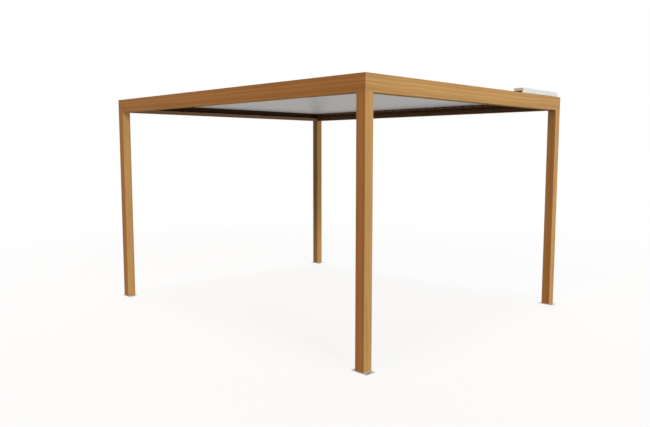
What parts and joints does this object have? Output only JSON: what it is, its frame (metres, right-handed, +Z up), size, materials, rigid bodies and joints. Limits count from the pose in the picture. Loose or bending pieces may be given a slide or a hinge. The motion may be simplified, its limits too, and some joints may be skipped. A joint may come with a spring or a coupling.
{
  "type": "louvered pergola",
  "caption": "Free-standing louvered pergola: square posts on foot plates, mitred gutter beams and a roof of turning louvres tied by a link bar.",
  "frame": {"origin": "on the ground at the centre of the footprint", "axes": "+X to the right, +Y to the back, +Z up; the louvres run along X"},
  "size_m": [3.5, 4.21, 2.552],
  "materials": {
    "frame": "wood-grain coated, satin",
    "louvre": "white powder coat, satin",
    "foot_plate": "mill finish, matte",
    "pivot_rail": "matte",
    "link_bar": "satin",
    "housing": "satin",
    "housing_base": "mill finish, matte"
  },
  "bodies": {
    "frame": {"post_front_left": "frame", "post_front_right": "frame", "post_back_left": "frame", "post_back_right": "frame", "foot_plate_front_left": "foot_plate", "foot_plate_front_right": "foot_plate", "foot_plate_back_left": "foot_plate", "foot_plate_back_right": "foot_plate", "beam_front": "frame", "beam_back": "frame", "beam_left": "frame", "beam_right": "frame", "pivot_rail_left": "pivot_rail", "pivot_rail_right": "pivot_rail", "housing_base": "housing_base", "housing_cover": "housing"},
    "louvre_01": {"louvre_01": "louvre"},
    "louvre_02": {"louvre_02": "louvre"},
    "louvre_03": {"louvre_03": "louvre"},
    "louvre_04": {"louvre_04": "louvre"},
    "louvre_05": {"louvre_05": "louvre"},
    "louvre_06": {"louvre_06": "louvre"},
    "louvre_07": {"louvre_07": "louvre"},
    "louvre_08": {"louvre_08": "louvre"},
    "louvre_09": {"louvre_09": "louvre"},
    "louvre_10": {"louvre_10": "louvre"},
    "louvre_11": {"louvre_11": "louvre"},
    "louvre_12": {"louvre_12": "louvre"},
    "louvre_13": {"louvre_13": "louvre"},
    "louvre_14": {"louvre_14": "louvre"},
    "louvre_15": {"louvre_15": "louvre"},
    "louvre_16": {"louvre_16": "louvre"},
    "louvre_17": {"louvre_17": "louvre"},
    "louvre_18": {"louvre_18": "louvre"},
    "louvre_19": {"louvre_19": "louvre"},
    "louvre_20": {"louvre_20": "louvre"},
    "louvre_21": {"louvre_21": "louvre"},
    "louvre_22": {"louvre_22": "louvre"},
    "louvre_23": {"louvre_23": "louvre"},
    "louvre_24": {"louvre_24": "louvre"},
    "louvre_25": {"louvre_25": "louvre"},
    "louvre_26": {"louvre_26": "louvre"},
    "louvre_27": {"louvre_27": "louvre"},
    "link_bar": {"link_bar": "link_bar"}
  },
  "joints": [
    {"name": "louvre_01_tilt", "type": "hinge", "parent": "frame", "child": "louvre_01", "pos_m": [1.711, -1.924, 2.476], "axis": [1, 0, 0], "range_deg": [0, 90]},
    {"name": "louvre_02_tilt", "type": "hinge", "parent": "frame", "child": "louvre_02", "pos_m": [1.711, -1.776, 2.476], "axis": [1, 0, 0], "range_deg": [0, 90]},
    {"name": "louvre_03_tilt", "type": "hinge", "parent": "frame", "child": "louvre_03", "pos_m": [1.711, -1.628, 2.476], "axis": [1, 0, 0], "range_deg": [0, 90]},
    {"name": "louvre_04_tilt", "type": "hinge", "parent": "frame", "child": "louvre_04", "pos_m": [1.711, -1.48, 2.476], "axis": [1, 0, 0], "range_deg": [0, 90]},
    {"name": "louvre_05_tilt", "type": "hinge", "parent": "frame", "child": "louvre_05", "pos_m": [1.711, -1.332, 2.476], "axis": [1, 0, 0], "range_deg": [0, 90]},
    {"name": "louvre_06_tilt", "type": "hinge", "parent": "frame", "child": "louvre_06", "pos_m": [1.711, -1.184, 2.476], "axis": [1, 0, 0], "range_deg": [0, 90]},
    {"name": "louvre_07_tilt", "type": "hinge", "parent": "frame", "child": "louvre_07", "pos_m": [1.711, -1.036, 2.476], "axis": [1, 0, 0], "range_deg": [0, 90]},
    {"name": "louvre_08_tilt", "type": "hinge", "parent": "frame", "child": "louvre_08", "pos_m": [1.711, -0.888, 2.476], "axis": [1, 0, 0], "range_deg": [0, 90]},
    {"name": "louvre_09_tilt", "type": "hinge", "parent": "frame", "child": "louvre_09", "pos_m": [1.711, -0.74, 2.476], "axis": [1, 0, 0], "range_deg": [0, 90]},
    {"name": "louvre_10_tilt", "type": "hinge", "parent": "frame", "child": "louvre_10", "pos_m": [1.711, -0.592, 2.476], "axis": [1, 0, 0], "range_deg": [0, 90]},
    {"name": "louvre_11_tilt", "type": "hinge", "parent": "frame", "child": "louvre_11", "pos_m": [1.711, -0.444, 2.476], "axis": [1, 0, 0], "range_deg": [0, 90]},
    {"name": "louvre_12_tilt", "type": "hinge", "parent": "frame", "child": "louvre_12", "pos_m": [1.711, -0.296, 2.476], "axis": [1, 0, 0], "range_deg": [0, 90]},
    {"name": "louvre_13_tilt", "type": "hinge", "parent": "frame", "child": "louvre_13", "pos_m": [1.711, -0.148, 2.476], "axis": [1, 0, 0], "range_deg": [0, 90]},
    {"name": "louvre_14_tilt", "type": "hinge", "parent": "frame", "child": "louvre_14", "pos_m": [1.711, 0, 2.476], "axis": [1, 0, 0], "range_deg": [0, 90]},
    {"name": "louvre_15_tilt", "type": "hinge", "parent": "frame", "child": "louvre_15", "pos_m": [1.711, 0.148, 2.476], "axis": [1, 0, 0], "range_deg": [0, 90]},
    {"name": "louvre_16_tilt", "type": "hinge", "parent": "frame", "child": "louvre_16", "pos_m": [1.711, 0.296, 2.476], "axis": [1, 0, 0], "range_deg": [0, 90]},
    {"name": "louvre_17_tilt", "type": "hinge", "parent": "frame", "child": "louvre_17", "pos_m": [1.711, 0.444, 2.476], "axis": [1, 0, 0], "range_deg": [0, 90]},
    {"name": "louvre_18_tilt", "type": "hinge", "parent": "frame", "child": "louvre_18", "pos_m": [1.711, 0.592, 2.476], "axis": [1, 0, 0], "range_deg": [0, 90]},
    {"name": "louvre_19_tilt", "type": "hinge", "parent": "frame", "child": "louvre_19", "pos_m": [1.711, 0.74, 2.476], "axis": [1, 0, 0], "range_deg": [0, 90]},
    {"name": "louvre_20_tilt", "type": "hinge", "parent": "frame", "child": "louvre_20", "pos_m": [1.711, 0.888, 2.476], "axis": [1, 0, 0], "range_deg": [0, 90]},
    {"name": "louvre_21_tilt", "type": "hinge", "parent": "frame", "child": "louvre_21", "pos_m": [1.711, 1.036, 2.476], "axis": [1, 0, 0], "range_deg": [0, 90]},
    {"name": "louvre_22_tilt", "type": "hinge", "parent": "frame", "child": "louvre_22", "pos_m": [1.711, 1.184, 2.476], "axis": [1, 0, 0], "range_deg": [0, 90]},
    {"name": "louvre_23_tilt", "type": "hinge", "parent": "frame", "child": "louvre_23", "pos_m": [1.711, 1.332, 2.476], "axis": [1, 0, 0], "range_deg": [0, 90]},
    {"name": "louvre_24_tilt", "type": "hinge", "parent": "frame", "child": "louvre_24", "pos_m": [1.711, 1.48, 2.476], "axis": [1, 0, 0], "range_deg": [0, 90]},
    {"name": "louvre_25_tilt", "type": "hinge", "parent": "frame", "child": "louvre_25", "pos_m": [1.711, 1.628, 2.476], "axis": [1, 0, 0], "range_deg": [0, 90]},
    {"name": "louvre_26_tilt", "type": "hinge", "parent": "frame", "child": "louvre_26", "pos_m": [1.711, 1.776, 2.476], "axis": [1, 0, 0], "range_deg": [0, 90]},
    {"name": "louvre_27_tilt", "type": "hinge", "parent": "frame", "child": "louvre_27", "pos_m": [1.711, 1.924, 2.476], "axis": [1, 0, 0], "range_deg": [0, 90]},
    {"name": "link_bar_pivot", "type": "hinge", "parent": "louvre_01", "child": "link_bar", "pos_m": [1.6813, -1.95935, 2.44064], "axis": [1, 0, 0], "range_deg": [-90, 0]}
  ],
  "couplings": [
    {"joint": "louvre_02_tilt", "follows": "louvre_01_tilt", "ratio": 1},
    {"joint": "louvre_03_tilt", "follows": "louvre_01_tilt", "ratio": 1},
    {"joint": "louvre_04_tilt", "follows": "louvre_01_tilt", "ratio": 1},
    {"joint": "louvre_05_tilt", "follows": "louvre_01_tilt", "ratio": 1},
    {"joint": "louvre_06_tilt", "follows": "louvre_01_tilt", "ratio": 1},
    {"joint": "louvre_07_tilt", "follows": "louvre_01_tilt", "ratio": 1},
    {"joint": "louvre_08_tilt", "follows": "louvre_01_tilt", "ratio": 1},
    {"joint": "louvre_09_tilt", "follows": "louvre_01_tilt", "ratio": 1},
    {"joint": "louvre_10_tilt", "follows": "louvre_01_tilt", "ratio": 1},
    {"joint": "louvre_11_tilt", "follows": "louvre_01_tilt", "ratio": 1},
    {"joint": "louvre_12_tilt", "follows": "louvre_01_tilt", "ratio": 1},
    {"joint": "louvre_13_tilt", "follows": "louvre_01_tilt", "ratio": 1},
    {"joint": "louvre_14_tilt", "follows": "louvre_01_tilt", "ratio": 1},
    {"joint": "louvre_15_tilt", "follows": "louvre_01_tilt", "ratio": 1},
    {"joint": "louvre_16_tilt", "follows": "louvre_01_tilt", "ratio": 1},
    {"joint": "louvre_17_tilt", "follows": "louvre_01_tilt", "ratio": 1},
    {"joint": "louvre_18_tilt", "follows": "louvre_01_tilt", "ratio": 1},
    {"joint": "louvre_19_tilt", "follows": "louvre_01_tilt", "ratio": 1},
    {"joint": "louvre_20_tilt", "follows": "louvre_01_tilt", "ratio": 1},
    {"joint": "louvre_21_tilt", "follows": "louvre_01_tilt", "ratio": 1},
    {"joint": "louvre_22_tilt", "follows": "louvre_01_tilt", "ratio": 1},
    {"joint": "louvre_23_tilt", "follows": "louvre_01_tilt", "ratio": 1},
    {"joint": "louvre_24_tilt", "follows": "louvre_01_tilt", "ratio": 1},
    {"joint": "louvre_25_tilt", "follows": "louvre_01_tilt", "ratio": 1},
    {"joint": "louvre_26_tilt", "follows": "louvre_01_tilt", "ratio": 1},
    {"joint": "louvre_27_tilt", "follows": "louvre_01_tilt", "ratio": 1},
    {"joint": "link_bar_pivot", "follows": "louvre_01_tilt", "ratio": -1}
  ]
}
